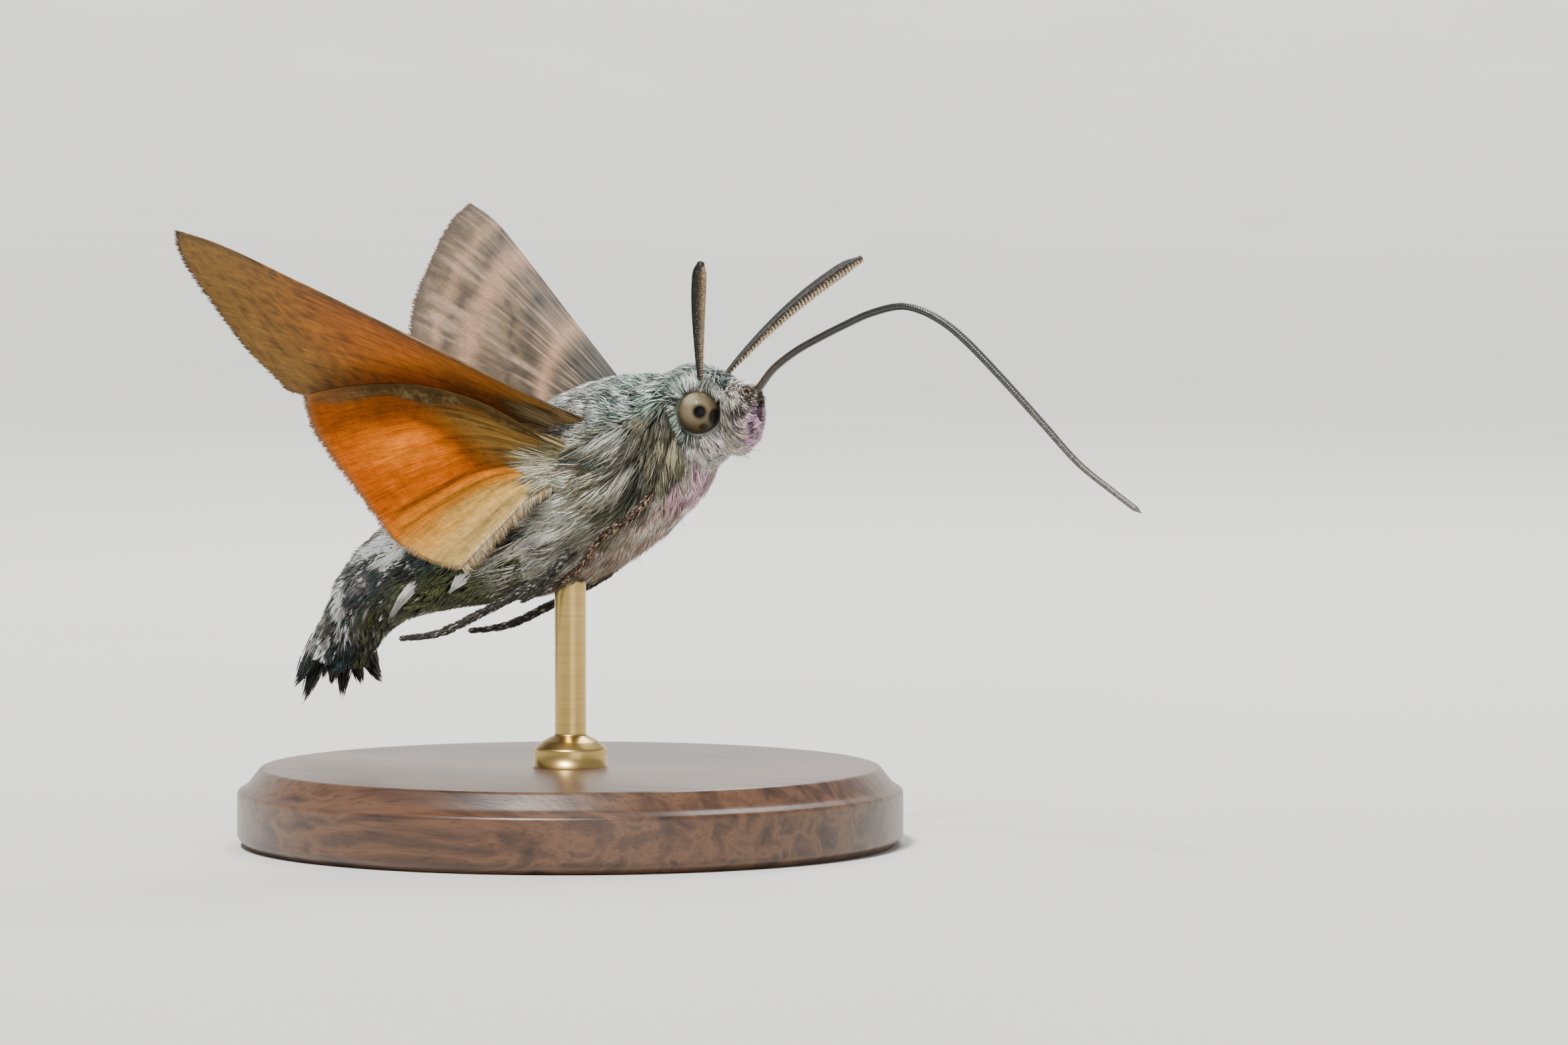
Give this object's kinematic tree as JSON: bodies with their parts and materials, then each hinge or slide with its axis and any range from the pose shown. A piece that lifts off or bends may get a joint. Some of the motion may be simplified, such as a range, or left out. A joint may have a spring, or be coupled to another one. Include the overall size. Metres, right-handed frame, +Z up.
{
  "type": "hummingbird hawk moth model",
  "caption": "Life-size hovering hawk moth with raised wings, curved proboscis and tail fan, held up by a rod on a round base.",
  "frame": {"origin": "centre of the stand base's flat underside", "axes": "+Z up out of the base, +X towards the moth's head and proboscis tip, +Y towards the moth's left side"},
  "size_m": [0.0492, 0.034, 0.0326],
  "materials": {
    "coat": "matte grey-green hair with cream and silver tips",
    "abdomen": "matte dark olive-brown scales with white side tufts",
    "tail": "matte black scale locks",
    "palps": "matte cream scales, dusted mauve",
    "eyes": "smooth satin beige with a dark pupil",
    "antennae": "satin, ringed dark and pale",
    "proboscis": "satin blackish horn, finely ringed",
    "forewings": "matte scales, rust-brown below, grey-brown above",
    "hindwings": "matte scales, bright orange",
    "legs": "matte grey-brown scales",
    "wood": "satin dark walnut",
    "brass": "satin brass"
  },
  "bodies": {
    "root": {"forewing_right": "forewings", "hindwing_right": "hindwings", "forewing_left": "forewings", "hindwing_left": "hindwings", "foreleg_right": "legs", "foreleg_left": "legs", "midleg_right": "legs", "midleg_left": "legs", "hindleg_right": "legs", "hindleg_left": "legs", "collar": "coat", "thorax": "coat", "abdomen_front": "abdomen", "abdomen_middle": "abdomen", "abdomen_rear": "abdomen", "tail_fan": "tail", "proboscis_root": "proboscis", "proboscis_rise": "proboscis", "proboscis_arch": "proboscis", "proboscis_tip": "proboscis", "eye_right": "eyes", "antenna_right": "antennae", "palp_right": "palps", "eye_left": "eyes", "antenna_left": "antennae", "palp_left": "palps", "head": "coat", "stand_base": "wood", "stand_rod": "brass"}
  },
  "joints": []
}
